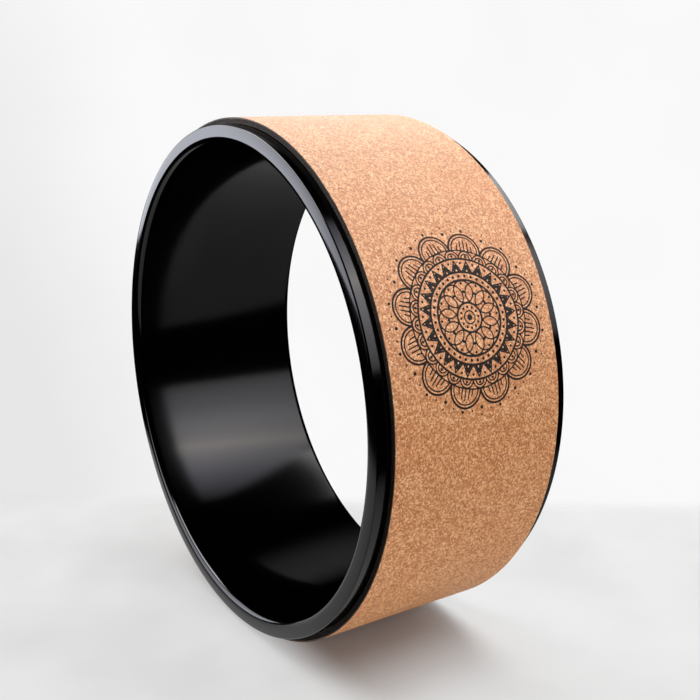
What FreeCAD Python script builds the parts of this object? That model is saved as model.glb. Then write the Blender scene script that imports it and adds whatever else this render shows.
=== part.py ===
"""Yoga wheel: a stiff plastic hoop with a foam and cork pad glued round its outside.

The wheel stands on its tread. Its axis is Y, its origin is the centre of the bore, and +Z is up.
The layers are sized from the bore outwards: a thicker wall or foam pushes out everything round it.
"""

import os

import FreeCAD
import Part
import Sketcher

# Two sizes closer than this are the same
TOLERANCE = 1e-4

# Degrees all the way round
FULL_TURN = 360

# Driving sizes, in millimetres and degrees
SIZES = {
    "bore_radius": "150",
    "hoop_wall": "11",
    "hoop_width": "132",
    "bore_round": "4.5",
    "rim_bevel": "1",
    "pad_width": "114",
    "hoop_film": "0.2",
    "foam_thickness": "2.8",
    "cork_film": "0.2",
    "cork_thickness": "0.8",
    "film_setback": "1",
    "seam_gap": "0.4",
    "strip_middle_angle": "68",
}

# Sizes that follow from them: where each layer starts and ends
FOLLOWING = {
    "hoop_radius": "=bore_radius + hoop_wall",
    "foam_inside_radius": "=hoop_radius + hoop_film",
    "foam_radius": "=foam_inside_radius + foam_thickness",
    "cork_inside_radius": "=foam_radius + cork_film",
    "wheel_radius": "=cork_inside_radius + cork_thickness",
    "film_width": "=pad_width - 2 * film_setback",
    "wrap_angle": f"={FULL_TURN} * (1 - seam_gap / (2 * pi * wheel_radius))",
}

document = FreeCAD.newDocument("yoga_wheel")
sheet = document.addObject("Spreadsheet::Sheet", "sizes")
for row, (alias, value) in enumerate((SIZES | FOLLOWING).items(), start=1):
    sheet.set(f"A{row}", alias)
    sheet.set(f"B{row}", value)
    sheet.setAlias(f"B{row}", alias)
document.recompute()


def origin_plane(body, role):
    """One of a body's own origin planes."""
    return next(feature for feature in body.Origin.OriginFeatures if feature.Role == role)


def ring_section(body, inner, thickness, width):
    """A sketch of a ring's section: a rectangle centred on the middle of its width.

    It is drawn in the upright plane through the wheel's axis, turned about that axis to the middle of the strip.
    """
    sketch = body.newObject("Sketcher::SketchObject", f"{body.Name}_section")
    sketch.AttachmentSupport = [(origin_plane(body, "YZ_Plane"), "")]
    sketch.MapMode = "FlatFace"
    along_wheel_axis = FreeCAD.Vector(1, 0, 0)
    turn = FreeCAD.Rotation(along_wheel_axis, sheet.get("strip_middle_angle"))
    sketch.AttachmentOffset = FreeCAD.Placement(FreeCAD.Vector(), turn)
    sketch.setExpression("AttachmentOffset.Rotation.Angle", f"{sheet.Name}.strip_middle_angle")
    half = sheet.get(width) / 2
    low = sheet.get(inner)
    high = low + sheet.get(thickness)
    corners = [(-half, low), (half, low), (half, high), (-half, high)]
    for index, corner in enumerate(corners):
        following = corners[(index + 1) % len(corners)]
        sketch.addGeometry(Part.LineSegment(FreeCAD.Vector(*corner, 0), FreeCAD.Vector(*following, 0)), False)
    bottom, right, top, left = range(4)
    start, end = 1, 2
    axis, middle, origin = -1, -2, 1
    for line, following in ((bottom, right), (right, top), (top, left), (left, bottom)):
        sketch.addConstraint(Sketcher.Constraint("Coincident", line, end, following, start))
    sketch.addConstraint(Sketcher.Constraint("Symmetric", bottom, start, bottom, end, middle))
    sketch.addConstraint(Sketcher.Constraint("Horizontal", top))
    sketch.addConstraint(Sketcher.Constraint("Vertical", left))
    sketch.addConstraint(Sketcher.Constraint("Vertical", right))
    sized = {
        "width": ("DistanceX", (bottom, start, bottom, end), width),
        "inner": ("DistanceY", (axis, origin, bottom, start), inner),
        "thickness": ("DistanceY", (right, start, right, end), thickness),
    }
    for name, (kind, where, alias) in sized.items():
        index = sketch.addConstraint(Sketcher.Constraint(kind, *where, sheet.get(alias)))
        sketch.renameConstraint(index, name)
        sketch.setExpression(f"Constraints.{name}", f"{sheet.Name}.{alias}")
    return sketch


def new_body(label):
    """An empty body whose label names its file."""
    body = document.addObject("PartDesign::Body", label)
    body.Label = label
    return body


def revolve(body, sketch):
    """Turns a section all the way round the wheel's axis, half a turn each way from the plane it is drawn in."""
    ring = body.newObject("PartDesign::Revolution", f"{body.Name}_ring")
    ring.Profile = sketch
    ring.ReferenceAxis = (sketch, ["H_Axis"])
    ring.Midplane = True
    ring.Angle = FULL_TURN
    document.recompute()
    return ring


def circles_of(base, radius):
    """The names of a ring's circular edges that have the given radius."""
    return [
        f"Edge{index}"
        for index, edge in enumerate(base.Shape.Edges, start=1)
        if isinstance(edge.Curve, Part.Circle) and abs(edge.Curve.Radius - sheet.get(radius)) < TOLERANCE
    ]


def make_hoop():
    """The plastic hoop: a plain tube, rounded where hands grip the bore, with the rims' sharp edges broken."""
    body = new_body("hoop")
    tube = revolve(body, ring_section(body, "bore_radius", "hoop_wall", "hoop_width"))
    rounded = body.newObject("PartDesign::Fillet", "bore_rounds")
    rounded.Base = (tube, circles_of(tube, "bore_radius"))
    rounded.setExpression("Radius", f"{sheet.Name}.bore_round")
    document.recompute()
    bevelled = body.newObject("PartDesign::Chamfer", "rim_bevels")
    bevelled.Base = (rounded, circles_of(rounded, "hoop_radius"))
    bevelled.setExpression("Size", f"{sheet.Name}.rim_bevel")
    document.recompute()
    return body


def make_layer(label, inner, thickness, width):
    """A strip wrapped once round the wheel, its butt seam opposite the middle of the strip."""
    body = new_body(label)
    strip = revolve(body, ring_section(body, inner, thickness, width))
    strip.setExpression("Angle", f"{sheet.Name}.wrap_angle")
    return body


parts = [
    make_hoop(),
    make_layer("hoop_adhesive", "hoop_radius", "hoop_film", "film_width"),
    make_layer("foam_strip", "foam_inside_radius", "foam_thickness", "pad_width"),
    make_layer("cork_adhesive", "foam_radius", "cork_film", "film_width"),
    make_layer("cork_sheet", "cork_inside_radius", "cork_thickness", "pad_width"),
]
document.recompute()

failed = [thing.Name for thing in document.Objects if {"Invalid", "Error"} & set(thing.State)]
failed += [part.Label for part in parts if part.Shape.isNull() or not part.Shape.isValid()]
if failed:
    raise RuntimeError(f"these objects failed: {failed}")

os.makedirs("parts", exist_ok=True)
for part in parts:
    part.Shape.exportStep(f"parts/{part.Label}.step")
    print(f"{part.Label}: {part.Shape.Volume / 1000:.1f} cm3, {len(part.Shape.Solids)} solid")
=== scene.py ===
# %% [markdown]
# # A yoga wheel with a cork tread
#
# The wheel is a wide, glossy black plastic hoop. A strip of black foam is glued round it, a little
# narrower than the hoop, and a thin sheet of pressed cork is glued round the foam. A rosette is printed
# in black ink on the cork. The CAD model gives every piece its real size and place, so this lesson only
# makes the surfaces: finer meshes of the same pieces, their finishes, the print, the light and the camera.
#
# The frame is loaded first, because the sizes of the layers are read from it. Its box is kept at once: the
# table stands at its lowest point.

# %% The frame
import math
import bmesh
import bpy
import numpy as np
from mathutils import Matrix, Vector


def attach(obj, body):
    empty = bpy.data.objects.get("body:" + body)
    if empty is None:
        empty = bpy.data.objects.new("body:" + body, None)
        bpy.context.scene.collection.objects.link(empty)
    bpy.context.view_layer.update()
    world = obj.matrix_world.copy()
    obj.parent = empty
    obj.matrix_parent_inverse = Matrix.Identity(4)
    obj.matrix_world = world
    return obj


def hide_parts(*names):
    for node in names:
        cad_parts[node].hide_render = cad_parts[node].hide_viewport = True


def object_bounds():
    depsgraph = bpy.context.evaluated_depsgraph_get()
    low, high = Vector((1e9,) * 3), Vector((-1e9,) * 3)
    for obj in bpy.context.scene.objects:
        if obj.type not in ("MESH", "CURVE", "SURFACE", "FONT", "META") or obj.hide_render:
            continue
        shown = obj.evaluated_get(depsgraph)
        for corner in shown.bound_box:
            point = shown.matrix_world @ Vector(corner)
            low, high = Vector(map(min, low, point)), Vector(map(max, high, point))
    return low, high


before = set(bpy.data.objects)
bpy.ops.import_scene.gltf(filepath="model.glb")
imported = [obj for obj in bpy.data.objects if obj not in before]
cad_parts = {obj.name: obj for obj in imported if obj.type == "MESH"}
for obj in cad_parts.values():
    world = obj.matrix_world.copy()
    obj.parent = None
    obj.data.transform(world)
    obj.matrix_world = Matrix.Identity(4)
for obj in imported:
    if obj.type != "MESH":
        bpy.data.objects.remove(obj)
CAD_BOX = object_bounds()
MM = 0.001
print("CAD nodes:", sorted(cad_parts))

# %% [markdown]
# ## Sizes
#
# Every solid of the wheel is a ring round the Y axis. Its radii and its width could be typed in again
# here, but then they could drift away from the CAD model. They are measured on the nodes' own points
# instead: the nearest and the furthest point from the axle line, and the furthest point along it.


# %% Sizes read from the frame
def ring_sizes(node):
    """Inner radius, outer radius and half width of a CAD ring, in metres."""
    points = np.array([v.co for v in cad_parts[node].data.vertices])
    radius = np.hypot(points[:, 0], points[:, 2])
    return radius.min(), radius.max(), np.abs(points[:, 1]).max()


BORE, HOOP_RADIUS, HOOP_HALF = ring_sizes("hoop")
FOAM_INSIDE, FOAM_RADIUS, PAD_HALF = ring_sizes("foam_strip")
CORK_INSIDE, CORK_RADIUS, CORK_HALF = ring_sizes("cork_sheet")
STRIP_MIDDLE = math.radians(68)  # both strips are centred here, from the top towards +X
SEAM_GAP = 0.4 * MM              # and their ends nearly meet on the opposite side
print(f"bore {BORE / MM:.1f}, hoop {HOOP_RADIUS / MM:.1f}, tread {CORK_RADIUS / MM:.1f} mm")

# %% [markdown]
# ## Turning a section into a ring
#
# Hoop, foam and cork are all one cross-section carried round the axle line. Blender's Screw modifier could
# do that, but a numpy array of rings lets each ring differ a little, which the hand-cut foam and cork need.
# The section is written as a few corners, each with the radius of its rounding, so no outline is a list of
# traced points. The rounding also gives the exact normal at each point. On a glossy hoop this matters:
# Blender's averaged normals would bend the reflections on the wide flat faces.

# %% Rounded sections
ARC_STEPS = 10


def unit(vector):
    """The same direction, with a length of 1."""
    return vector / np.linalg.norm(vector)


def corner_arc(before, spot, after, rounding):
    """Points and outward normals of the arc that rounds one corner of an outline."""
    back = unit(before - spot)
    ahead = unit(after - spot)
    half = math.acos(back @ ahead) / 2
    centre = spot + unit(back + ahead) * rounding / math.sin(half)
    first = spot + back * rounding / math.tan(half) - centre
    last = spot + ahead * rounding / math.tan(half) - centre
    sweep = math.pi - 2 * half
    part = np.linspace(0, 1, ARC_STEPS + 1)[:, None]
    arms = (first * np.sin((1 - part) * sweep) + last * np.sin(part * sweep)) / math.sin(sweep)
    return centre + arms, arms / rounding


def rounded_section(corners):
    """Points and outward normals of a convex outline of (radius, y, rounding, pieces) corners.

    The straight side after a corner is cut into that many pieces.
    """
    spots = np.array([corner[:2] for corner in corners])
    ahead = np.roll(spots, -1, 0)
    arcs = [corner_arc(spots[i - 1], spots[i], ahead[i], corners[i][2]) for i in range(len(corners))]
    points = []
    normals = []
    for index, (arc, arc_normals) in enumerate(arcs):
        side = arcs[(index + 1) % len(arcs)][0][0] - arc[-1]
        pieces = corners[index][3]
        cuts = np.arange(1, pieces)[:, None] / pieces
        points += [arc, arc[-1] + side * cuts]
        normals += [arc_normals, np.repeat(arc_normals[-1:], len(cuts), 0)]
    return np.concatenate(points), np.concatenate(normals)


# %% Rings
def on_wheel(angle, radius, y):
    """Places at an angle from the top towards +X, a radius and a distance along the axle line."""
    return np.stack(np.broadcast_arrays(radius * np.sin(angle), y, radius * np.cos(angle)), -1)


def new_piece(name, points, faces):
    """A smooth-shaded mesh object whose faces all look outwards."""
    mesh = bpy.data.meshes.new(name)
    mesh.from_pydata([tuple(p) for p in points], [], faces)
    skin = bmesh.new()
    skin.from_mesh(mesh)
    bmesh.ops.recalc_face_normals(skin, faces=skin.faces)
    skin.to_mesh(mesh)
    skin.free()
    mesh.shade_smooth()
    piece = bpy.data.objects.new(name, mesh)
    bpy.context.scene.collection.objects.link(piece)
    print(f"{name}: {len(mesh.vertices)} points, {len(mesh.polygons)} faces")
    return piece


def ring_piece(name, places, closed):
    """One skin through places[turn][point], with its ends capped where the ring isn't closed."""
    turns, count = places.shape[:2]
    faces = []
    for turn in range(turns if closed else turns - 1):
        here = turn * count
        there = (turn + 1) % turns * count
        for point in range(count):
            after = (point + 1) % count
            faces.append((here + point, here + after, there + after, there + point))
    if not closed:
        faces.append(tuple(range(count)))
        faces.append(tuple(range(turns * count - 1, (turns - 1) * count - 1, -1)))
    return new_piece(name, places.reshape(-1, 3), faces)


# %% [markdown]
# ## Shader maths as Python
#
# A finish is a tree of nodes, and a tree of Math nodes is hard to read. A small class wraps one socket, so
# that `0.2 + 0.1 * grain` adds the Math nodes by itself. Every other node comes from one method, which
# takes the node's type, then its settings, then a value or a wire for each socket.


# %% One class for the nodes
class Wire:
    """An output socket of a node tree, on which Python arithmetic adds Math nodes."""

    def __init__(self, socket):
        self.socket = socket

    @staticmethod
    def node(tree, kind, settings=None, sockets=None, output=0):
        """Add one node: its settings first, then the values or wires of its sockets."""
        made = tree.nodes.new("ShaderNode" + kind)
        for name, value in (settings or {}).items():
            if name == "stops":
                Wire.set_stops(made.color_ramp, value)
            else:
                setattr(made, name, value)
        for key, value in (sockets or {}).items():
            if isinstance(value, Wire):
                tree.links.new(value.socket, made.inputs[key])
            else:
                made.inputs[key].default_value = value
        return Wire(made.outputs[output]) if len(made.outputs) else None

    @staticmethod
    def set_stops(ramp, stops):
        """Give a colour ramp its (place, colour) stops."""
        while len(ramp.elements) < len(stops):
            ramp.elements.new(1.0)
        for element, (place, colour) in zip(ramp.elements, stops):
            element.position = place
            element.color = colour

    def twin(self, output):
        """Another output of the same node."""
        return Wire(self.socket.node.outputs[output])

    def maths(self, operation, first, second, clamp=False):
        """One Math node in this wire's tree."""
        settings = {"operation": operation, "use_clamp": clamp}
        return Wire.node(self.socket.id_data, "Math", settings, {0: first, 1: second})

    def __add__(self, other):
        return self.maths("ADD", self, other)

    def __radd__(self, other):
        return self.maths("ADD", other, self)

    def __sub__(self, other):
        return self.maths("SUBTRACT", self, other)

    def __rsub__(self, other):
        return self.maths("SUBTRACT", other, self)

    def __mul__(self, other):
        return self.maths("MULTIPLY", self, other)

    def __rmul__(self, other):
        return self.maths("MULTIPLY", other, self)

    def __gt__(self, other):
        return self.maths("GREATER_THAN", self, other)

    def __lt__(self, other):
        return self.maths("LESS_THAN", self, other)

    def __abs__(self):
        return self.maths("ABSOLUTE", self, 0.0)

    def step(self, low, high):
        """A soft step from 0 at low to 1 at high."""
        settings = {"interpolation_type": "SMOOTHSTEP"}
        sockets = {"Value": self, "From Min": low, "From Max": high}
        return Wire.node(self.socket.id_data, "MapRange", settings, sockets)


# %% [markdown]
# A few helpers stand for what every finish here needs: a mix of two colours, soft noise, random cells, an
# empty material to start from, one Principled shader to end with, and relief. Textures are sized in metres,
# so that a granule of cork is as large as it is on the real sheet.


# %% Helpers for the finishes
def mixed(factor, first, second, way="MIX"):
    """A colour between two colours; factor is a wire."""
    settings = {"data_type": "RGBA", "blend_type": way}
    return Wire.node(factor.socket.id_data, "Mix", settings, {0: factor, 6: first, 7: second}, output=2)


def noise(place, size, detail=2.0, output=0):
    """Soft random values whose lumps are about that size, in metres."""
    sockets = {"Vector": place, "Scale": 1 / size, "Detail": detail}
    return Wire.node(place.socket.id_data, "TexNoise", None, sockets, output)


def cells(place, size, feature="F1", output="Distance"):
    """Random cells of about that size, in metres."""
    sockets = {"Vector": place, "Scale": 1 / size}
    return Wire.node(place.socket.id_data, "TexVoronoi", {"feature": feature}, sockets, output)


def blank_finish(name):
    """An empty material, its tree and the place on the piece in metres."""
    material = bpy.data.materials.new(name)
    material.use_nodes = True
    material.node_tree.nodes.clear()
    place = Wire.node(material.node_tree, "TexCoord", output="Object")
    return material, material.node_tree, place


def close_finish(material, sockets):
    """One Principled shader with these sockets, wired to the material's output."""
    tree = material.node_tree
    shader = Wire.node(tree, "BsdfPrincipled", None, sockets)
    Wire.node(tree, "OutputMaterial", None, {"Surface": shader})
    print(f"finish {material.name}: {len(tree.nodes)} nodes")
    return material


def bump(height, depth, strength=1.0):
    """A bent normal for relief of that depth in metres."""
    sockets = {"Height": height, "Distance": depth, "Strength": strength}
    return Wire.node(height.socket.id_data, "Bump", None, sockets)


# %% [markdown]
# ## The hoop
#
# The hoop carries the weight: a moulded ring of black plastic, whose wall is about as thick as a finger.
# Hands grip it through the bore, so the bore's edges are well rounded. Its ends are flat near the bore and
# fall away slightly towards the rim, as moulded faces do, and the rim's own edge is only just broken. The
# bore is a shade narrower at its middle than at its ends, which lets the hoop leave its mould; the eye sees
# that only in what the bore mirrors. The CAD solid has the same section with straight sides, in flat
# facets, which a mirror-like finish would show, so the hoop is spun again with many more steps and exact
# normals.

# %% The hoop's mesh
HOOP_STEPS = 384
BORE_ROUND = 4.5 * MM
RIM_ROUND = 1.0 * MM
CROWN_ROUND = 30 * MM     # the end's flat part turns into the sloping one on an arc of this radius
CROWN_WIDTH = 3.5 * MM    # from the arc's middle to the rim
CROWN_START = 0.1 * MM    # how far the end has fallen there
CROWN_FALL = 0.7 * MM     # and at the rim
BARREL_ROUND = 3700 * MM  # the bore bulges inwards on an arc of this radius
BARREL_REACH = 1.1 * MM   # between straight sides that would meet this far in

end_corners = [
    (BORE, HOOP_HALF, BORE_ROUND, 1),
    (HOOP_RADIUS - CROWN_WIDTH, HOOP_HALF - CROWN_START, CROWN_ROUND, 1),
    (HOOP_RADIUS, HOOP_HALF - CROWN_FALL, RIM_ROUND, 1),
]
hoop_corners = [(radius, -y, rounding, pieces) for radius, y, rounding, pieces in end_corners]
hoop_corners += reversed(end_corners)
hoop_corners.append((BORE - BARREL_REACH, 0, BARREL_ROUND, 1))
hoop_section, hoop_normals = rounded_section(hoop_corners)
hoop_turn = np.linspace(0, math.tau, HOOP_STEPS, endpoint=False)[:, None]
hoop = ring_piece("wheel_hoop", on_wheel(hoop_turn, hoop_section[:, 0], hoop_section[:, 1]), closed=True)
exact = on_wheel(hoop_turn, hoop_normals[:, 0], hoop_normals[:, 1]).reshape(-1, 3)
hoop.data.normals_split_custom_set_from_vertices([tuple(n) for n in exact])
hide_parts("hoop")
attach(hoop, "root")

# %% [markdown]
# The plastic is deep black with a soft gloss: what it mirrors has slightly blurred edges. The mould was
# turned on a lathe, which leaves faint streaks round the wheel; they are noise read from the radius and the
# width alone. Moulding also leaves a slight unevenness, and handling leaves fine dull patches and a little
# dust. All of that is in the roughness and in a very shallow bump; the colour hardly changes.

# %% The hoop's finish
DEEP_BLACK = (0.0016, 0.0016, 0.0018, 1)
DUST_GREY = (0.02, 0.02, 0.02, 1)


def hoop_plastic():
    """Black plastic with turning streaks, dull patches and dust."""
    material, tree, place = blank_finish("black_satin_plastic")
    patches = noise(place, 40 * MM, 3.0)
    grain = noise(place, 0.5 * MM, 2.0)
    dust = cells(place, 5 * MM) < 0.02
    level = Wire.node(tree, "VectorMath", {"operation": "MULTIPLY"}, {0: place, 1: (1, 0, 1)})
    radius = Wire.node(tree, "VectorMath", {"operation": "LENGTH"}, {0: level}, output="Value")
    width = Wire.node(tree, "SeparateXYZ", None, {0: place}, output="Y")
    turned = Wire.node(tree, "CombineXYZ", None, {"X": radius, "Y": width})
    streaks = noise(turned, 0.7 * MM, 2.0)
    roughness = 0.075 + 0.03 * patches + 0.015 * grain + 0.02 * streaks + 0.3 * dust
    skin = noise(place, 12 * MM, 1.0) + 0.05 * streaks + 0.02 * grain
    return close_finish(material, {
        "Base Color": mixed(dust, DEEP_BLACK, DUST_GREY),
        "Roughness": roughness,
        "IOR": 1.38,
        "Normal": bump(skin, 0.02 * MM, 0.5),
    })


hoop.data.materials.append(hoop_plastic())

# %% [markdown]
# ## The foam strip
#
# Under the cork lies a strip of black foam, a few millimetres thick, which makes the tread soft. Only its
# cut sides show, as a dull dark band between the cork and the hoop. A knife leaves such a side slightly
# hollow and uneven, so each ring of points wanders a little from the true section. The wander is a sum of
# sine waves with seeded phases: it is smooth, and the same in every run.

# %% A strip's angles, and the knife's wander
STRIP_STEPS = 720
WAVE_COUNT = 40      # sine waves in a wander
COARSEST_WAVES = 4   # times that the longest of them fits round the wheel, roughly

half_turn = math.pi - SEAM_GAP / CORK_RADIUS / 2
strip_turn = STRIP_MIDDLE + np.linspace(-half_turn, half_turn, STRIP_STEPS + 1)[:, None]


def wander(angle, size, waves, seed):
    """A smooth irregular offset of about that size, with that many waves in its finest part."""
    rng = np.random.default_rng(seed)
    turns = np.geomspace(COARSEST_WAVES, waves, WAVE_COUNT)
    phases = rng.uniform(0, math.tau, WAVE_COUNT)
    heights = rng.normal(size=WAVE_COUNT)
    summed = (heights * np.sin(angle * turns + phases)).sum(1, keepdims=True)
    return size * summed / math.sqrt(WAVE_COUNT / 2)


print(f"strip: {STRIP_STEPS} steps from seam to seam")

# %% The foam's mesh
SIDE_PIECES = 8
FOAM_ROUND = 0.35 * MM
FOAM_HOLLOW = 0.12 * MM   # how far the middle of a cut side is drawn in
FOAM_STRAY = 0.05 * MM    # how far the knife strayed at least, and about as much again in places
FOAM_WAVES = 160
SHARP_CUT = math.radians(60)

foam_corners = [
    (FOAM_INSIDE, -PAD_HALF, FOAM_ROUND, SIDE_PIECES),
    (FOAM_RADIUS, -PAD_HALF, FOAM_ROUND, 1),
    (FOAM_RADIUS, PAD_HALF, FOAM_ROUND, SIDE_PIECES),
    (FOAM_INSIDE, PAD_HALF, FOAM_ROUND, 1),
]
foam_section, _ = rounded_section(foam_corners)
foam_y = np.repeat(foam_section[None, :, 1], len(strip_turn), 0)
across = (foam_section[:, 0] - FOAM_INSIDE) / (FOAM_RADIUS - FOAM_INSIDE)
hollow = FOAM_HOLLOW * np.sin(math.pi * across)
ragged = FOAM_STRAY + np.abs(wander(strip_turn, FOAM_STRAY, FOAM_WAVES, seed=3))
foam_y = foam_y - np.sign(foam_y) * (hollow + ragged)
foam = ring_piece("foam_strip_pad", on_wheel(strip_turn, foam_section[:, 0], foam_y), closed=False)
foam.data.set_sharp_from_angle(angle=SHARP_CUT)
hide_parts("foam_strip")
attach(foam, "root")

# %% [markdown]
# Cut foam is matt and full of tiny open cells. Cells from a Voronoi texture dent the surface through the
# bump, and their floors are painted much darker than their walls: painted shade in the pores. A touch of
# sheen stands for the torn cell walls, which catch light that grazes the cut.

# %% The foam's finish
SHADED_CELL_FLOOR = (0.004, 0.0034, 0.0030, 1)
CELL_WALL = (0.095, 0.071, 0.058, 1)


def cut_foam():
    """Matt brownish black foam with open cells, their floors darkened as painted shade."""
    material, _, place = blank_finish("black_cut_foam")
    pores = cells(place, 0.5 * MM)
    clumps = noise(place, 1.6 * MM, 3.0)
    # walls is 0 on the cell floors, which are painted dark as shade in the pores
    walls = pores.step(0.3, 0.8)
    return close_finish(material, {
        "Base Color": mixed(walls * clumps, SHADED_CELL_FLOOR, CELL_WALL),
        "Roughness": 0.85 + 0.1 * clumps,
        "Specular IOR Level": 0.1,
        "Sheen Weight": 0.03,
        "Sheen Roughness": 0.6,
        "Normal": bump(pores, 0.2 * MM, 0.8),
    })


foam.data.materials.append(cut_foam())

# %% [markdown]
# ## The cork sheet
#
# The tread is a thin sheet of pressed cork: granules about a millimetre across, glued into a block and
# sliced. Its ends meet at a seam on the far side of the wheel. Its long edges are cut by hand, so they waver
# by a tenth of a millimetre or so, and the knife leaves their upper corners slightly rounded. Only the
# points close to an edge take part in the wavering.

# %% The cork's mesh
TREAD_PIECES = 24
CORK_ROUND = 0.22 * MM
GLUED_ROUND = CORK_ROUND / 4  # the corners on the foam are sharper
CORK_STRAY = 0.1 * MM
CORK_WAVES = 330
NEAR_EDGE = 0.9 * CORK_HALF

cork_corners = [
    (CORK_INSIDE, -CORK_HALF, GLUED_ROUND, 1),
    (CORK_RADIUS, -CORK_HALF, CORK_ROUND, TREAD_PIECES),
    (CORK_RADIUS, CORK_HALF, CORK_ROUND, 1),
    (CORK_INSIDE, CORK_HALF, GLUED_ROUND, 1),
]
cork_section, _ = rounded_section(cork_corners)
cork_y = np.repeat(cork_section[None, :, 1], len(strip_turn), 0)
front_cut = np.abs(wander(strip_turn, CORK_STRAY, CORK_WAVES, seed=7))
back_cut = np.abs(wander(strip_turn, CORK_STRAY, CORK_WAVES, seed=8))
cork_y = cork_y + np.where(cork_y < 0, front_cut, -back_cut) * (np.abs(cork_y) > NEAR_EDGE)
cork = ring_piece("cork_tread", on_wheel(strip_turn, cork_section[:, 0], cork_y), closed=False)
cork.data.set_sharp_from_angle(angle=SHARP_CUT)
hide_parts("cork_sheet")
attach(cork, "root")

# %% [markdown]
# Each granule has its own tone. A Voronoi texture gives the granules, its coordinates bent by noise so that
# they aren't all smooth polygons. The random colour of a cell picks its tone. Two more sets of cells are used
# for their centres only: small dots round them are dark bark specks and pale flecks. Broad noise makes the
# sheet a little warmer here and yellower there. Where the surface faces along the axle, on the cut sides of
# the sheet, the colour is nearly black. The sheet is sanded and sealed, so at a grazing angle it mirrors a
# bright lamp softly and looks pale there.

# %% The cork's finish
GRANULE = 1.0 * MM
BEND = (0.8 * MM, 0.8 * MM, 0.8 * MM)
CORK_TONES = [
    (0.15, (0.42, 0.126, 0.022, 1)),
    (0.42, (0.61, 0.245, 0.083, 1)),
    (0.62, (0.77, 0.361, 0.142, 1)),
    (0.90, (0.97, 0.620, 0.345, 1)),
]
GLUE_BROWN = (0.34, 0.105, 0.020, 1)
BARK_BROWN = (0.27, 0.080, 0.015, 1)
PALE_FLECK = (1.0, 0.72, 0.42, 1)
WARM_CAST = (1.0, 0.93, 0.86, 1)
NEARLY_BLACK_SIDES = (0.05, 0.03, 0.02, 1)


def pressed_cork():
    """Pressed granules with glue between them, bark specks, pale flecks and nearly black cut sides."""
    material, tree, place = blank_finish("pressed_cork")
    swirl = noise(place, 1.6 * MM, 2.0, output="Color")
    bent = Wire.node(tree, "VectorMath", {"operation": "MULTIPLY_ADD"}, {0: swirl, 1: BEND, 2: place})
    granule = cells(bent, GRANULE, output="Color")
    gaps = cells(bent, GRANULE, "DISTANCE_TO_EDGE")
    chance = Wire.node(tree, "SeparateColor", None, {"Color": granule})
    fine = noise(place, 0.7 * MM, 2.0)
    clouds = noise(place, 9 * MM, 3.0)
    tone = 0.60 * chance + 0.72 * fine + 0.15 * clouds - 0.215
    colour = Wire.node(tree, "ValToRGB", {"stops": CORK_TONES}, {"Fac": tone})
    glue = 1 - gaps.step(0.0, 0.10)
    colour = mixed(0.22 * glue, colour, GLUE_BROWN)
    bark = 1 - cells(bent, 2.1 * MM).step(0.18, 0.30)
    colour = mixed(0.48 * bark, colour, BARK_BROWN)
    flecks = 1 - cells(place, 2.3 * MM).step(0.14, 0.28)
    colour = mixed(0.55 * flecks, colour, PALE_FLECK)
    warm = noise(place, 30 * MM, 2.0)
    colour = mixed(0.5 * warm.step(0.35, 0.7), colour, WARM_CAST, "MULTIPLY")
    facing = Wire.node(tree, "TexCoord", output="Normal")
    sideways = Wire.node(tree, "SeparateXYZ", None, {0: facing}, output="Y")
    # the cut sides, which face along the axle, are made nearly black
    colour = mixed(abs(sideways).step(0.5, 0.95), colour, NEARLY_BLACK_SIDES)
    relief = gaps.step(0.0, 0.25) + 0.6 * fine
    return close_finish(material, {
        "Base Color": colour,
        "Roughness": 0.44 + 0.2 * fine + 0.2 * glue,
        "Diffuse Roughness": 0.4,
        "Specular IOR Level": 0.48,
        "Normal": bump(relief, 0.12 * MM, 0.4),
    })


cork.data.materials.append(pressed_cork())

# %% [markdown]
# ## The adhesive films
#
# Two thin films hold the layers together: one between hoop and foam, one between foam and cork. They stop
# a little short of the edges and stay hidden, so their CAD solids are kept as they are. They still get a
# finish of their own, a milky contact adhesive, because somebody may take the layers apart.

# %% The films' finish
THIN_GLUE = (0.50, 0.44, 0.31, 1)
THICK_GLUE = (0.68, 0.63, 0.50, 1)


def contact_adhesive():
    """Milky adhesive, brushed on unevenly, with small drops."""
    material, _, place = blank_finish("contact_adhesive")
    brushed = noise(place, 6 * MM, 4.0)
    drops = cells(place, 1.8 * MM)
    return close_finish(material, {
        "Base Color": mixed(brushed, THIN_GLUE, THICK_GLUE),
        "Roughness": 0.25 + 0.3 * brushed,
        "Normal": bump(drops + brushed, 0.05 * MM, 0.4),
    })


film_finish = contact_adhesive()
for film in ("hoop_adhesive", "cork_adhesive"):
    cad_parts[film].data.materials.clear()
    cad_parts[film].data.materials.append(film_finish)

# %% [markdown]
# ## The printed rosette
#
# A round line drawing as wide as a hand is printed on the tread. This one is plain compass work of its own:
# rings, beads, interlaced circles, a zigzag band and two rows of scallops, repeated round the centre.
#
# It could be painted by the cork's material, but then its sharp lines would depend on the size of a baked
# texture. It is a thin mesh instead. The drawing is first written as a distance field on a flat grid: at
# each point, how far it is to the nearest edge of the ink, negative inside. Shapes then join by taking
# the least distance, so lines that cross become one clean outline without overlapping faces.

# %% The drawing's grid
DRAWING_REACH = 53 * MM
DRAWING_STEP = 0.42 * MM

ticks = np.arange(-DRAWING_REACH, DRAWING_REACH + DRAWING_STEP, DRAWING_STEP)
ALONG, ASIDE = np.meshgrid(ticks, ticks, indexing="ij")
FROM_CENTRE = np.hypot(ALONG, ASIDE)
BEARING = np.arctan2(ASIDE, ALONG)
print(f"rosette: a grid of {len(ticks)} by {len(ticks)} points")


# %% Motifs as distance fields
def in_sector(count, turn=0.0):
    """The grid folded into one of count equal sectors: distance outwards and sideways from its middle."""
    share = math.tau / count
    angle = (BEARING - turn * share + share / 2) % share - share / 2
    return FROM_CENTRE * np.cos(angle), FROM_CENTRE * np.sin(angle)


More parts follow.
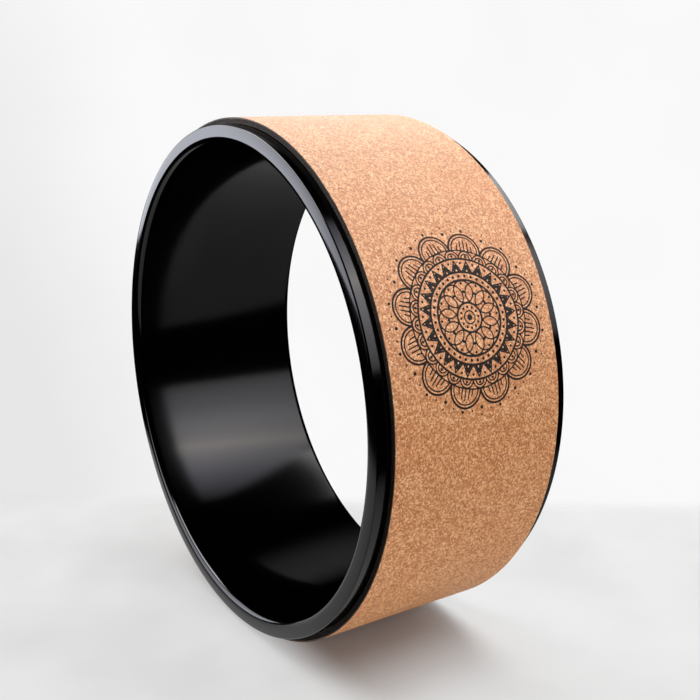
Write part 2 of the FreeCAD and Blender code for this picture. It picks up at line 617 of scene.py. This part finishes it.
def ring(radius, line):
    """A circle round the centre."""
    return np.abs(FROM_CENTRE - radius) - line / 2


def beads(count, radius, size, turn=0.0):
    """Dots set round the centre."""
    out, side = in_sector(count, turn)
    return np.hypot(out - radius, side) - size / 2


def loops(count, radius, size, line, turn=0.0):
    """Circles of that size set round the centre; where they are wide enough, they interlace."""
    nearest = np.full_like(FROM_CENTRE, np.inf)
    for index in range(count):
        angle = math.tau * (index + turn) / count
        off_middle = np.hypot(ALONG - radius * math.cos(angle), ASIDE - radius * math.sin(angle))
        nearest = np.minimum(nearest, np.abs(off_middle - size / 2) - line / 2)
    return nearest


def strokes(count, start, end, line, turn=0.0):
    """Straight strokes from start to end, each (distance outwards, share of the sector sideways)."""
    out, side = in_sector(count, turn)
    share = math.tau / count
    first = np.array([start[0] * math.cos(start[1] * share), start[0] * math.sin(start[1] * share)])
    last = np.array([end[0] * math.cos(end[1] * share), end[0] * math.sin(end[1] * share)])
    run = last - first
    part = ((out - first[0]) * run[0] + (np.abs(side) - first[1]) * run[1]) / (run @ run)
    part = np.clip(part, 0, 1)
    gap = np.hypot(out - first[0] - part * run[0], np.abs(side) - first[1] - part * run[1])
    return gap - line / 2


def scallops(count, radius, line, turn=0.0, share=1.0):
    """Round arches that stand on a ring and meet there; share makes them smaller."""
    size = 2 * radius * math.sin(math.pi / count)
    out, side = in_sector(count, turn)
    arch = np.abs(np.hypot(out - radius, side) - share * size / 2) - line / 2
    return np.maximum(arch, radius - FROM_CENTRE)


# %% [markdown]
# The drawing is built from the centre outwards, with one, two or three of a motif in each of twelve
# sectors. Every row of motifs starts about where the last one ends.

# %% The drawing itself
FINE_LINE = 0.76 * MM
BOLD_LINE = 1.12 * MM
SECTORS = 12
CENTRE_RING = 3.4 * MM
INNER_RING = 7.8 * MM
LOOP_SIZE = 12.0 * MM
BEAD_RING = 22.4 * MM
BAND_INSIDE = 24.6 * MM
BAND_OUTSIDE = 31.6 * MM
SMALL_ARCHES = 32.6 * MM
LARGE_ARCHES = 37.6 * MM
TIP_BEADS = 49.4 * MM

loop_radius = INNER_RING + LOOP_SIZE / 2
outer_loop = INNER_RING + LOOP_SIZE
small_arch = SMALL_ARCHES * math.sin(math.pi / (2 * SECTORS))
large_arch = LARGE_ARCHES * math.sin(math.pi / SECTORS)
outside_small = SMALL_ARCHES + small_arch + 0.3 * MM
rosette_heart = [
    beads(1, 0.0, 3.2 * MM),
    ring(CENTRE_RING, FINE_LINE),
    beads(SECTORS, 5.6 * MM, 1.5 * MM),
    ring(INNER_RING, BOLD_LINE),
    loops(SECTORS, loop_radius, LOOP_SIZE, FINE_LINE),
    beads(SECTORS, loop_radius, 1.6 * MM),
    beads(SECTORS, outer_loop - 1.5 * MM, 1.5 * MM),
    ring(outer_loop + 0.4 * MM, BOLD_LINE),
    beads(3 * SECTORS, BEAD_RING, 1.7 * MM),
]
zigzag_band = [
    ring(BAND_INSIDE, BOLD_LINE),
    strokes(2 * SECTORS, (BAND_INSIDE, 0.5), (BAND_OUTSIDE - 0.6 * MM, 0.0), FINE_LINE),
    strokes(2 * SECTORS, (BAND_INSIDE, 0.26), (BAND_OUTSIDE - 3.2 * MM, 0.0), 1.3 * MM),
    beads(2 * SECTORS, BAND_OUTSIDE - 1.9 * MM, 1.5 * MM, turn=0.5),
    ring(SMALL_ARCHES - 0.4 * MM, BOLD_LINE),
]
small_scallops = [
    scallops(2 * SECTORS, SMALL_ARCHES, FINE_LINE),
    scallops(2 * SECTORS, SMALL_ARCHES, FINE_LINE, share=0.62),
    beads(2 * SECTORS, SMALL_ARCHES + 1.2 * MM, 1.5 * MM),
    ring(outside_small, FINE_LINE),
]
large_scallops = [
    scallops(SECTORS, LARGE_ARCHES, BOLD_LINE, turn=0.5),
    scallops(SECTORS, LARGE_ARCHES, FINE_LINE, turn=0.5, share=0.82),
    strokes(SECTORS, (outside_small, 0.0), (LARGE_ARCHES + 0.6 * large_arch, 0.0), FINE_LINE, turn=0.5),
    strokes(SECTORS, (outside_small, 0.12), (LARGE_ARCHES + 0.52 * large_arch, 0.10), FINE_LINE, turn=0.5),
    strokes(SECTORS, (outside_small, 0.24), (LARGE_ARCHES + 0.30 * large_arch, 0.20), FINE_LINE, turn=0.5),
]
tips = [
    beads(SECTORS, TIP_BEADS, 1.7 * MM, turn=0.5),
    beads(2 * SECTORS, TIP_BEADS - 0.8 * MM, 1.1 * MM, turn=0.5),
    beads(SECTORS, TIP_BEADS - 2.4 * MM, 1.9 * MM),
    beads(SECTORS, TIP_BEADS + 1.6 * MM, 1.1 * MM),
]
INK = np.minimum.reduce(rosette_heart + zigzag_band + small_scallops + large_scallops + tips)
print(f"rosette: {(INK < 0).mean() * (2 * DRAWING_REACH / MM) ** 2:.0f} square mm of ink")

# %% [markdown]
# The field becomes a mesh by marching over its grid: a cell that lies inside becomes a square, and a cell
# that the outline crosses is cut where the distance is zero. The flat drawing is then wrapped on the
# tread: the way along becomes an angle, the way aside stays the width. Its upper side stands a
# few hundredths of a millimetre out of the cork and its lower side is sunk as far into it.


# %% From the field to flat faces
def traced(field):
    """Flat points and faces of the part of the grid where the field is negative."""
    index = {}
    points = []
    faces = []

    def point(key, along, aside):
        if key not in index:
            index[key] = len(points)
            points.append((along, aside))
        return index[key]

    cell_corners = [field[:-1, :-1], field[1:, :-1], field[1:, 1:], field[:-1, 1:]]
    rows, columns = np.nonzero(np.minimum.reduce(cell_corners) < 0)
    for row, column in zip(rows.tolist(), columns.tolist()):
        corners = [(row, column), (row + 1, column), (row + 1, column + 1), (row, column + 1)]
        face = []
        for here, there in zip(corners, corners[1:] + corners[:1]):
            depth = field[here]
            next_depth = field[there]
            if depth < 0:
                face.append(point(here, ticks[here[0]], ticks[here[1]]))
            if (depth < 0) != (next_depth < 0):
                part = depth / (depth - next_depth)
                along = ticks[here[0]] + part * (ticks[there[0]] - ticks[here[0]])
                aside = ticks[here[1]] + part * (ticks[there[1]] - ticks[here[1]])
                face.append(point(tuple(sorted((here, there))), along, aside))
        faces.append(face)
    return np.array(points), faces


flat, ink_faces = traced(INK)
print(f"rosette: {len(ink_faces)} flat faces")

# %% Ink on the cork
INK_RISE = 0.03 * MM
INK_SINK = 0.03 * MM
PRINT_SCALE = 1.03
PRINT_MIDDLE = math.radians(67.3)  # the print sits a little above the strip's middle
PRINT_ASIDE = 0.4 * MM
SHARP_INK = math.radians(40)

ink_angle = PRINT_MIDDLE + PRINT_SCALE * flat[:, 0] / CORK_RADIUS
ink_y = PRINT_ASIDE + PRINT_SCALE * flat[:, 1]
upper = on_wheel(ink_angle, CORK_RADIUS + INK_RISE, ink_y)
lower = on_wheel(ink_angle, CORK_RADIUS - INK_SINK, ink_y)
edge_uses = {}
for face in ink_faces:
    for here, there in zip(face, face[1:] + face[:1]):
        edge_uses.setdefault((min(here, there), max(here, there)), []).append((here, there))
outline = [uses[0] for uses in edge_uses.values() if len(uses) == 1]
count = len(flat)
ink_skin = list(ink_faces)
ink_skin += [[count + i for i in reversed(face)] for face in ink_faces]
ink_skin += [[there, here, count + here, count + there] for here, there in outline]
ink = new_piece("printed_rosette", np.concatenate([upper, lower]), ink_skin)
ink.data.set_sharp_from_angle(angle=SHARP_INK)
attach(ink, "root")

# %% [markdown]
# Print on cork is never quite solid: the ink misses the deepest gaps between the granules. Its finish is
# a soft black whose alpha has pinholes on the scale of the granules.

# %% The ink's finish
INK_BLACK = (0.005, 0.004, 0.004, 1)
INK_BROWN = (0.018, 0.012, 0.010, 1)


def printing_ink():
    """Soft black ink with pinholes."""
    material, _, place = blank_finish("printing_ink")
    patchy = noise(place, 0.9 * MM, 3.0)
    fine = noise(place, 0.4 * MM, 2.0)
    missed = (0.6 * patchy + 0.4 * fine).step(0.62, 0.70)
    return close_finish(material, {
        "Base Color": mixed(patchy, INK_BLACK, INK_BROWN),
        "Roughness": 0.55 + 0.3 * fine,
        "Specular IOR Level": 0.15,
        "Alpha": 1 - 0.5 * missed,
        "Normal": bump(fine, 0.06 * MM, 0.5),
    })


ink.data.materials.append(printing_ink())

# %% [markdown]
# ## The table
#
# The wheel stands on a round table of pale paper. Close to the wheel the paper is plain matt white, which
# takes its shadow. Further out most of its brightness is its own, as on a lit table top, so that the shadow
# stays short: that glow is painted light, greyer on the left and whiter on the right, with soft clouds of
# painted shade. The paper grows transparent towards its round edge, and for the camera also along a
# straight line behind the wheel, where table and wall meet. In mirrors it is dimmer behind the wheel, and it
# is gone from what is mirrored a second time: that keeps the depth of the bore black.

# %% What a ray sees
ONE_MIRROR = 1.5  # a limit between one mirror on a ray's way and two


def seen_directly(tree):
    """1 for rays from the camera, a mirror or glass, and 0 for light on matt surfaces."""
    path = Wire.node(tree, "LightPath", output="Is Camera Ray")
    either = path + path.twin("Is Glossy Ray")
    return either.maths("ADD", either, path.twin("Is Transmission Ray"), clamp=True)


def mirrored_once(tree):
    """1 for rays that at most one mirror has turned, and 0 for the rest."""
    return Wire.node(tree, "LightPath", output="Glossy Depth") < ONE_MIRROR


def distance_to(place, way):
    """How far a place or direction lies in that way."""
    sockets = {0: place, 1: way}
    return Wire.node(place.socket.id_data, "VectorMath", {"operation": "DOT_PRODUCT"}, sockets, "Value")


# %% The table's paper
TABLE_RADIUS = 0.50
TABLE_SIDES = 128
TABLE_GLOW = 0.75                 # share of the paper's brightness that is its own
TABLE_FADE = (0.46, 0.34)         # from the middle: gone at the first distance, whole at the second
TABLE_END = (0.155, 0.190)        # behind the wheel: whole at the first distance, gone at the second
SHADOW_ALONG = (0.17, 0.07)       # the matt part ends softly along the wheel's run
SHADOW_FRONT = (-0.074, -0.030)   # in front of it
SHADOW_BACK = (0.16, 0.045)       # and behind it
MIRROR_LOSS = 0.55                # mirrored paper is dimmer by this share
MIRROR_LOSS_BEHIND = (0.0, 0.12)  # growing between these distances behind the wheel's middle
TO_THE_RIGHT = (0.555, 0.832, 0)  # level, across the photograph
AWAY = (-0.809, 0.590, 0)         # level, from the camera to the wall
MATT_PAPER = (0.58, 0.58, 0.58, 1)
DIM_PAPER_GLOW = (0.66, 0.66, 0.66, 1)
BRIGHT_PAPER_GLOW = (0.91, 0.91, 0.91, 1)


def table_paper():
    """Paper that is matt under the wheel, glows further out and ends without a line."""
    material, tree, place = blank_finish("table_paper")
    # painted light: the glow is greyer on the left, whiter on the right and has clouds of painted shade
    clouds = noise(place, 90 * MM, 2.0)
    tone = 0.50 + 0.12 * distance_to(place, TO_THE_RIGHT).step(-0.35, 0.35) + 1.1 * (clouds - 0.5)
    paper = Wire.node(tree, "BsdfDiffuse", None, {"Color": MATT_PAPER})
    glow = Wire.node(tree, "Emission", None, {"Color": mixed(tone, DIM_PAPER_GLOW, BRIGHT_PAPER_GLOW)})
    along = Wire.node(tree, "SeparateXYZ", None, {0: place})
    aside = along.twin("Y")
    under_wheel = abs(along).step(*SHADOW_ALONG) * aside.step(*SHADOW_FRONT) * aside.step(*SHADOW_BACK)
    direct = seen_directly(tree)
    own_light = TABLE_GLOW * direct * (1 - under_wheel)
    lit = Wire.node(tree, "MixShader", None, {0: own_light, 1: paper, 2: glow})
    nothing = Wire.node(tree, "BsdfTransparent")
    level = Wire.node(tree, "VectorMath", {"operation": "MULTIPLY"}, {0: place, 1: (1, 1, 0)})
    off_middle = Wire.node(tree, "VectorMath", {"operation": "LENGTH"}, {0: level}, output="Value")
    path = Wire.node(tree, "LightPath", output="Is Camera Ray")
    there = off_middle.step(*TABLE_FADE) * (1 - path * distance_to(place, AWAY).step(*TABLE_END))
    dimmed = MIRROR_LOSS * path.twin("Is Glossy Ray") * aside.step(*MIRROR_LOSS_BEHIND)
    there = there * (1 - dimmed) * mirrored_once(tree)
    surface = Wire.node(tree, "MixShader", None, {0: (1 - there) * direct, 1: lit, 2: nothing})
    Wire.node(tree, "OutputMaterial", None, {"Surface": surface})
    return material


turn = np.linspace(0, math.tau, TABLE_SIDES, endpoint=False)
height = np.full(TABLE_SIDES, CAD_BOX[0].z)
rim = np.stack([TABLE_RADIUS * np.cos(turn), TABLE_RADIUS * np.sin(turn), height], -1)
table = new_piece("table", rim, [list(range(TABLE_SIDES))])
table.data.materials.append(table_paper())

# %% [markdown]
# ## The wall and the dark room
#
# The background is the world's own colour where the camera, a mirror or glass looks at it: a white wall,
# slightly greyer towards the left, with soft clouds of shade. As a light on the wheel the world is only an
# even fill.
#
# Black gloss shows whatever stands around it. Studios hang black cloth around such an object, so that it
# mirrors nothing but the table and what is set up on purpose. The dark room here is that cloth: a large
# black shell that only mirror rays can see.

# %% The wall
FILL_LEVEL = 0.10
UP_TO_THE_RIGHT = (0.555, 0.832, 0.35)
WALL_FADE = (-0.42, -0.18)  # from grey to white, in that direction
CLOUD_SIZE = 0.14           # as a share of the distance
GREY_WALL = (0.80, 0.80, 0.80, 1)
WHITE_WALL = (0.95, 0.95, 0.95, 1)
FILL_WHITE = (1, 1, 1, 1)

world = bpy.data.worlds.new("studio")
bpy.context.scene.world = world
world.use_nodes = True
air = world.node_tree
air.nodes.clear()
direction = Wire.node(air, "TexCoord", output="Generated")
clouds = noise(direction, CLOUD_SIZE, 2.0)
shade = distance_to(direction, UP_TO_THE_RIGHT).step(*WALL_FADE) + 0.5 * (clouds - 0.5)
wall = Wire.node(air, "Background", None, {"Color": mixed(shade, GREY_WALL, WHITE_WALL)})
fill = Wire.node(air, "Background", None, {"Color": FILL_WHITE, "Strength": FILL_LEVEL})
sky = Wire.node(air, "MixShader", None, {0: seen_directly(air), 1: fill, 2: wall})
Wire.node(air, "OutputWorld", None, {"Surface": sky})
print(f"wall: {len(air.nodes)} nodes")

# %% The dark room
ROOM_RADIUS = 4.0
CLOTH_BLACK = (0.002, 0.002, 0.002, 1)


def only_in_mirrors(thing):
    """Hide a thing from every kind of ray except mirror rays."""
    for ray in ("camera", "diffuse", "transmission", "volume_scatter", "shadow"):
        setattr(thing, "visible_" + ray, False)


shell = bmesh.new()
bmesh.ops.create_uvsphere(shell, u_segments=48, v_segments=24, radius=ROOM_RADIUS)
room_mesh = bpy.data.meshes.new("dark_room")
shell.to_mesh(room_mesh)
shell.free()
room = bpy.data.objects.new("dark_room", room_mesh)
bpy.context.scene.collection.objects.link(room)
cloth, _, _ = blank_finish("black_cloth")
close_finish(cloth, {"Base Color": CLOTH_BLACK, "Roughness": 1.0, "Specular IOR Level": 0.0})
room.data.materials.append(cloth)
only_in_mirrors(room)

# %% [markdown]
# ## Light
#
# Matt cork needs light, and black gloss needs something bright to mirror. One set of lamps could do both, but
# then every change of a highlight would also change the cork. Here the two jobs are kept apart: soft boxes
# light the matt pieces and the table, and light linking keeps them off the hoop. The main one hangs above
# and a little behind. One behind on the left grazes the top of the tread, and one behind on the right fills
# in. One low in front on the right lifts the front of the tread. The last two hang in one place, high in
# front on the left: one lights only the foam, whose cut side would be lost without it, and the other only
# the table, where it throws the wheel's soft shadow to the back. A soft box is best described by how bright
# its cloth looks, so the lamp's power is worked out from that and its area.


# %% Soft boxes for the matt pieces
def soft_box(name, place, width, height, radiance, lit):
    """A rectangular lamp facing the wheel, whose cloth has that radiance; it lights only some pieces."""
    receivers = bpy.data.collections.new(name + "_receivers")
    for piece in lit:
        receivers.objects.link(piece)
    lamp = bpy.data.lights.new(name, "AREA")
    lamp.shape = "RECTANGLE"
    lamp.size = width
    lamp.size_y = height
    lamp.energy = radiance * math.pi * width * height
    box = bpy.data.objects.new(name, lamp)
    bpy.context.scene.collection.objects.link(box)
    box.location = place
    box.rotation_mode = "QUATERNION"
    box.rotation_quaternion = (-Vector(place)).to_track_quat("-Z", "Y")
    box.visible_camera = False
    box.light_linking.receiver_collection = receivers
    print(f"{name}: {lamp.energy:.1f} W")


ALL_MATT = (foam, cork, ink, table)
FRONT_LEFT = (-0.35, -0.45, 0.85)
soft_box("roof_box", (0.05, 0.33, 1.10), width=0.8, height=0.6, radiance=7.5, lit=ALL_MATT)
soft_box("left_box", (-0.65, 0.55, 0.75), width=0.8, height=0.6, radiance=5.0, lit=ALL_MATT)
soft_box("right_box", (0.50, 0.60, 0.45), width=0.8, height=0.7, radiance=1.9, lit=ALL_MATT)
soft_box("side_box", (0.85, -0.55, 0.12), width=0.8, height=0.5, radiance=2.8, lit=(cork, ink, table))
soft_box("front_box", FRONT_LEFT, width=0.8, height=0.5, radiance=14.0, lit=(foam,))
soft_box("shadow_box", FRONT_LEFT, width=0.8, height=0.5, radiance=5.6, lit=(table,))

# %% [markdown]
# ## Reflectors
#
# The gloss gets reflectors: bright cards that only mirror rays can see. A broad panel in front on the left
# gives the pale band on the hoop's end, and a brighter one above it the highlight along the rim. A tall
# window behind on the right is mirrored by the lower half of the bore; it is brightest in the middle of its
# height, like a window with a blind, and darker towards one side. A card high up behind is mirrored by the
# bare edge beside the tread at the back. A dim wall behind on the left shows at the bottom of the bore.
#
# Each card is a rectangle, given by a corner and its two sides. Its borders fade to transparent, and a
# colour ramp along its second side says how bright it is there. A card shows only where the plastic mirrors
# it directly: what is mirrored twice inside the bore was lost in the black of the photograph.

# %% A card and its glow
DIM_FROM = -0.05  # the loss of light sideways starts here, as a share of the width from the middle
DIM_TO = 0.5      # and is full at the border


def glowing_card(width, height, soft, radiance, levels, dim):
    """Light whose borders are soft and whose colour follows the levels along the card's second side."""
    material, tree, place = blank_finish("glowing_card")
    sideways = Wire.node(tree, "SeparateXYZ", None, {0: place})
    upwards = sideways.twin("Y")
    tint = Wire.node(tree, "ValToRGB", {"stops": levels}, {"Fac": upwards * (1 / height) + 0.5})
    light = Wire.node(tree, "Emission", None, {"Color": tint, "Strength": radiance})
    glow = 1 - dim * sideways.step(DIM_FROM * width, DIM_TO * width)
    for axis, side in ((sideways, width), (upwards, height)):
        glow = glow * abs(axis).step(side / 2, side / 2 - soft)
    glow = glow * mirrored_once(tree)
    nothing = Wire.node(tree, "BsdfTransparent")
    card = Wire.node(tree, "MixShader", None, {0: glow, 1: nothing, 2: light})
    Wire.node(tree, "OutputMaterial", None, {"Surface": card})
    return material


def reflector(name, corner, along, up, radiance, soft, levels, dim=0.0):
    """A card from a corner along two sides, only for mirror rays; dim is its loss of light sideways."""
    along = Vector(along)
    up = Vector(up)
    width = along.length
    height = up.length
    places = [(x * width / 2, y * height / 2, 0) for x, y in ((-1, -1), (1, -1), (1, 1), (-1, 1))]
    sheet = new_piece(name, places, [(0, 1, 2, 3)])
    facing = along.cross(up).normalized()
    upright = facing.cross(along).normalized()
    turned = Matrix((along.normalized(), upright, facing)).transposed().to_4x4()
    sheet.matrix_world = Matrix.Translation(Vector(corner) + (along + up) / 2) @ turned
    sheet.data.materials.append(glowing_card(width, height, soft, radiance, levels, dim))
    only_in_mirrors(sheet)


# %% The cards
EVEN = [
    (0.0, (1, 1, 1, 1)),
    (1.0, (1, 1, 1, 1)),
]
PANEL = [
    (0.00, (0.59, 0.60, 0.67, 1)),
    (0.17, (0.65, 0.67, 0.74, 1)),
    (0.30, (0.93, 0.95, 1.06, 1)),
]
WINDOW = [
    (0.03, (0.17, 0.17, 0.17, 1)),
    (0.13, (0.30, 0.29, 0.31, 1)),
    (0.24, (0.40, 0.39, 0.42, 1)),
    (0.33, (0.55, 0.54, 0.58, 1)),
    (0.47, (0.77, 0.74, 0.75, 1)),
    (0.53, (1.04, 0.98, 0.93, 1)),
    (0.58, (0.80, 0.77, 0.79, 1)),
    (0.67, (0.60, 0.58, 0.63, 1)),
    (0.76, (0.43, 0.42, 0.48, 1)),
    (0.85, (0.29, 0.28, 0.32, 1)),
    (0.98, (0.03, 0.03, 0.03, 1)),
]
reflector(
    "front_card", corner=(-1.119, -0.218, -0.037), along=(0, 0, 0.737), up=(0.960, -0.911, 0),
    radiance=5.1, soft=0.02, levels=PANEL,
)
reflector(
    "rim_card", corner=(-0.80, -0.28, 0.62), along=(0.85, -0.53, 0), up=(0.14, 0.22, 0.33),
    radiance=12.5, soft=0.08, levels=EVEN,
)
reflector(
    "window", corner=(1.359, 0.378, 0.251), along=(-0.488, 0.720, 0), up=(-0.725, -0.491, 1.092),
    radiance=7.2, soft=0.08, levels=WINDOW, dim=0.4,
)
reflector(
    "back_card", corner=(0.465, 0.964, 0.764), along=(-0.718, 0.335, 0.507), up=(0.004, -0.281, 0.192),
    radiance=6.2, soft=0.1, levels=EVEN,
)
reflector(
    "left_wall", corner=(-1.50, 0.30, 0.25), along=(0.70, 0.90, 0), up=(0.35, -0.27, 0.95),
    radiance=0.26, soft=0.45, levels=EVEN,
)

# %% [markdown]
# ## Camera
#
# The photograph was taken from the wheel's front right, slightly above its middle. The camera's place and
# focal length were worked out from the outlines of the hoop and the tread in the picture. Blender's track
# constraint could aim it, but the fitted direction is more exact than any point to aim at.

# %% The camera
PICTURE_SIDE = 700     # pixels
FOCAL_PIXELS = 1037.9
SENSOR_WIDTH = 36.0    # millimetres
CAMERA_PLACE = (565.56 * MM, -351.97 * MM, 182.31 * MM)
CAMERA_AZIMUTH = math.radians(56.29)
CAMERA_ELEVATION = math.radians(14.21)

lens = bpy.data.cameras.new("photo_camera")
lens.sensor_width = SENSOR_WIDTH
lens.lens = SENSOR_WIDTH * FOCAL_PIXELS / PICTURE_SIDE
camera = bpy.data.objects.new("photo_camera", lens)
bpy.context.scene.collection.objects.link(camera)
camera.location = CAMERA_PLACE
back = Vector((
    math.sin(CAMERA_AZIMUTH) * math.cos(CAMERA_ELEVATION),
    -math.cos(CAMERA_AZIMUTH) * math.cos(CAMERA_ELEVATION),
    math.sin(CAMERA_ELEVATION),
))
camera.rotation_mode = "QUATERNION"
camera.rotation_quaternion = (-back).to_track_quat("-Z", "Y")
bpy.context.scene.camera = camera
bpy.context.scene.view_settings.view_transform = "Standard"
print(f"camera: {lens.lens:.1f} mm")
